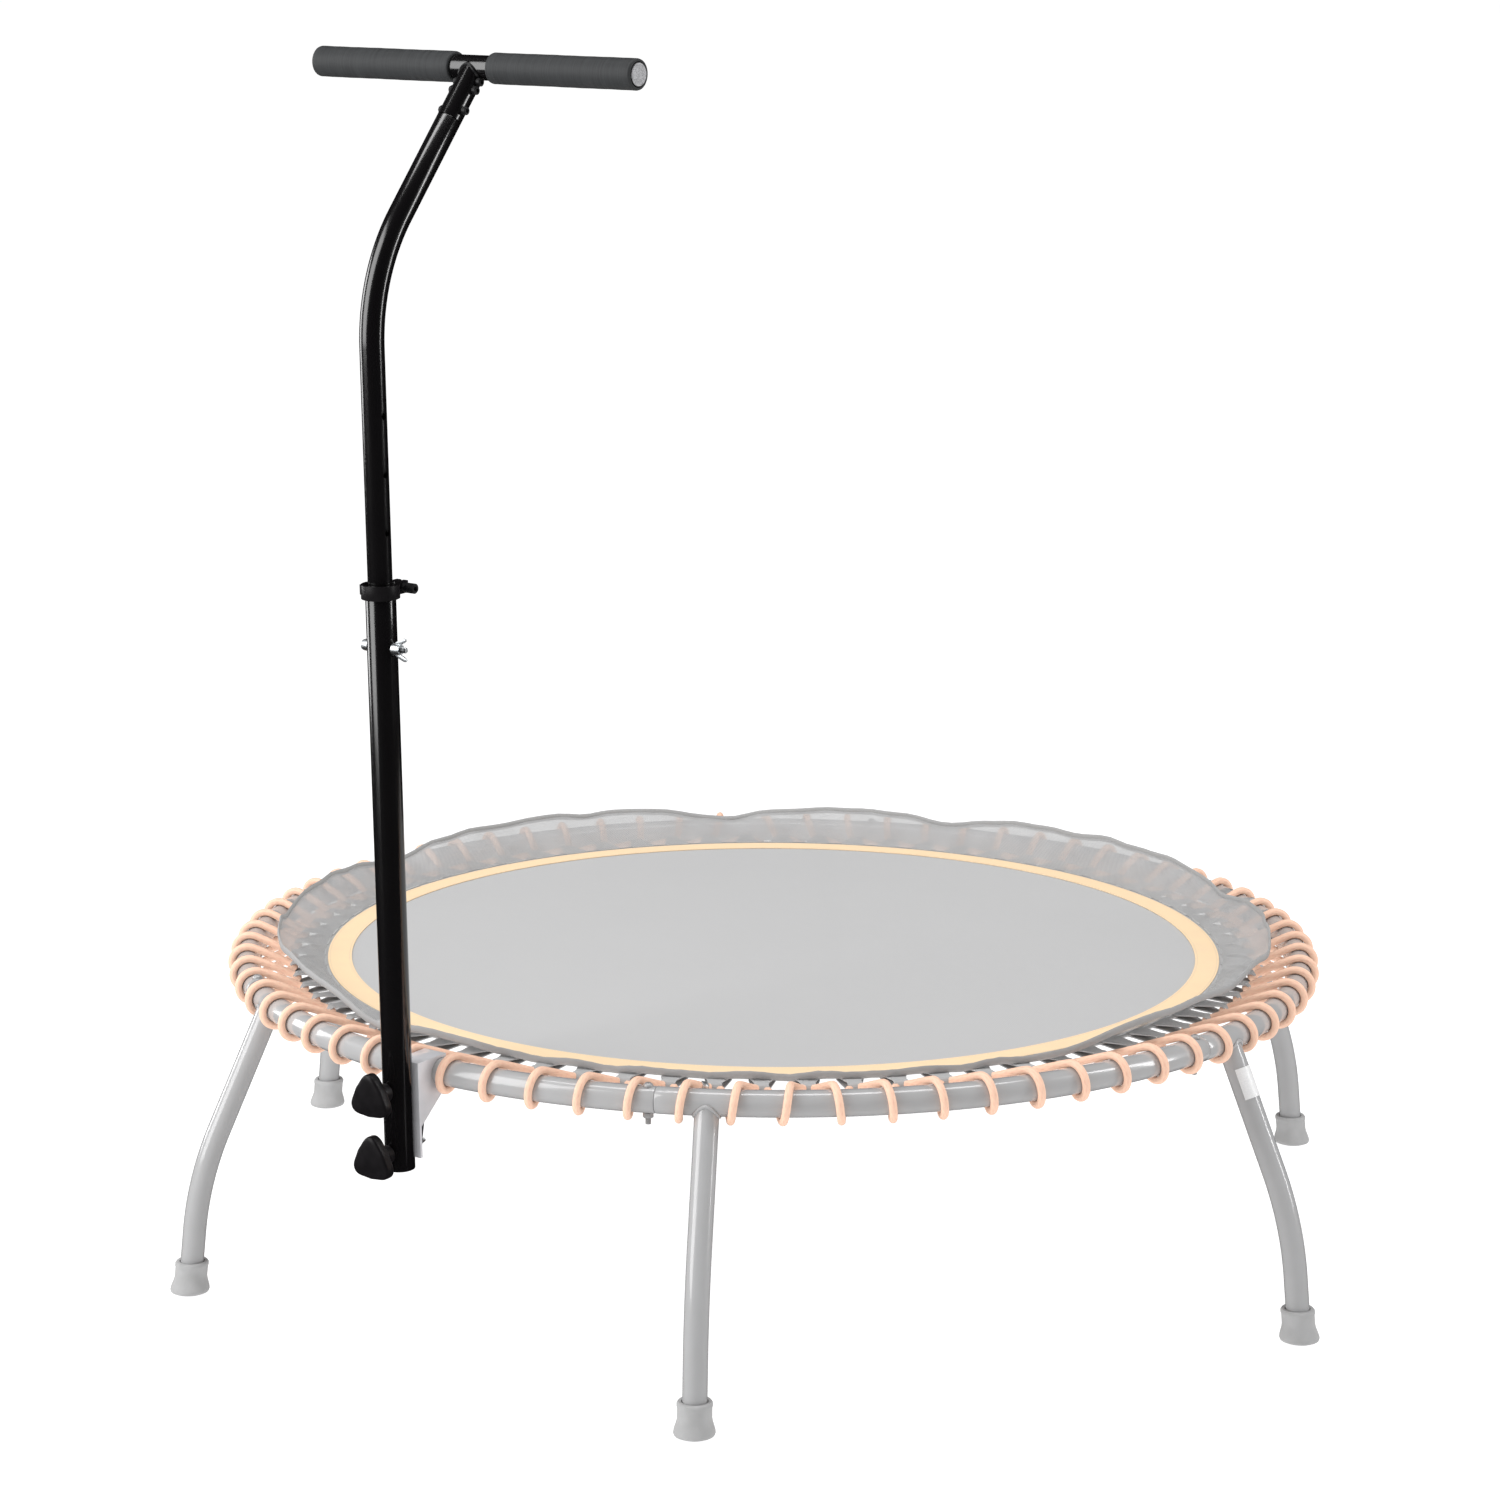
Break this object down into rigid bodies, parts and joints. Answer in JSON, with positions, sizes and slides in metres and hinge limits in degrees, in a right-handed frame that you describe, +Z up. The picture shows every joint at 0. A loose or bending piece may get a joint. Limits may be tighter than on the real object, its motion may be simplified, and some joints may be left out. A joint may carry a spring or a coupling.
{
  "type": "mini trampoline",
  "caption": "Round fitness trampoline with an elastic-cord mat, splayed curved legs and a T-bar handle on a bent, height-adjustable post.",
  "frame": {"origin": "centre of the object's box on the floor", "axes": "+Z up from the floor, -Y towards the handle's post, +X to the right of someone on the mat who looks away from the handle"},
  "size_m": [1.442, 1.3262, 1.354],
  "materials": {
    "black_steel": "gloss powder coat, shown pale",
    "black_rubber": "matt moulded rubber, shown pale",
    "mat_weave": "fine plain weave, shown pale",
    "stripe_orange": "sewn ring, shown pale",
    "net_black": "see-through net, shown pale",
    "cord_orange": "smooth sleeved elastic cord, shown pale",
    "handle_black": "gloss powder coat",
    "foam_grey": "satin foam",
    "knob_black": "satin moulding",
    "black_screw": "blackened steel",
    "zinc": "bright zinc",
    "plug_grey": "speckled",
    "label_white": "blank sticker"
  },
  "bodies": {
    "frame": {"foot_1": "black_rubber", "foot_2": "black_rubber", "foot_3": "black_rubber", "foot_4": "black_rubber", "foot_5": "black_rubber", "foot_6": "black_rubber", "frame_bolt_1": "black_screw", "frame_bolt_2": "black_screw", "frame_bolt_3": "black_screw", "frame_bolt_4": "black_screw", "frame_bolt_5": "black_screw", "frame_bolt_6": "black_screw", "leg_1": "black_steel", "leg_2": "black_steel", "leg_3": "black_steel", "leg_4": "black_steel", "leg_5": "black_steel", "leg_6": "black_steel", "leg_label": "label_white", "rail_1": "black_steel", "rail_2": "black_steel", "rail_3": "black_steel", "rail_4": "black_steel", "rail_5": "black_steel", "rail_6": "black_steel", "rail_bracket": "black_steel", "elastic_cord": "cord_orange", "upright_tube": "handle_black", "upper_nut": "zinc", "lower_nut": "zinc", "collar_clamp": "knob_black", "collar_screw": "black_screw", "lock_bolt": "zinc"},
    "bed": {"jump_mat": "mat_weave", "ring_stripe": "stripe_orange", "net_skirt": "net_black", "skirt_binding": "net_black", "cord_crimp": "zinc"},
    "neck": {"neck_tube": "handle_black", "stem_tube": "handle_black", "stem_bolt_1": "black_screw", "stem_bolt_2": "black_screw", "stem_bolt_3": "black_screw", "crossbar_tube": "handle_black", "left_grip": "foam_grey", "right_grip": "foam_grey", "left_end_plug": "plug_grey", "right_end_plug": "plug_grey"},
    "upper_knob": {"upper_knob": "knob_black", "upper_stud": "zinc"},
    "lower_knob": {"lower_knob": "knob_black", "lower_stud": "zinc"},
    "wing_nut": {"wing_nut": "zinc"}
  },
  "joints": [
    {"name": "mat_bounce", "type": "slide", "parent": "frame", "child": "bed", "axis": [0, 0, -1], "range_m": [0, 0.1], "stiffness_N_per_m": 6000, "springref_m": -0.005, "deforming": ["elastic_cord"]},
    {"name": "handle_height", "type": "slide", "parent": "frame", "child": "neck", "axis": [0, -0.0279, 0.9996], "range_m": [-0.1755, 0.1755]},
    {"name": "upper_knob_turn", "type": "hinge", "parent": "frame", "child": "upper_knob", "pos_m": [0, -0.61479, 0.30847], "axis": [0, -0.9996, -0.0279], "continuous": true},
    {"name": "lower_knob_turn", "type": "hinge", "parent": "frame", "child": "lower_knob", "pos_m": [0, -0.61294, 0.24199], "axis": [0, -0.9996, -0.0279], "continuous": true},
    {"name": "wing_nut_turn", "type": "hinge", "parent": "frame", "child": "wing_nut", "pos_m": [0, -0.62772, 0.77119], "axis": [1, 0, 0], "continuous": true}
  ]
}
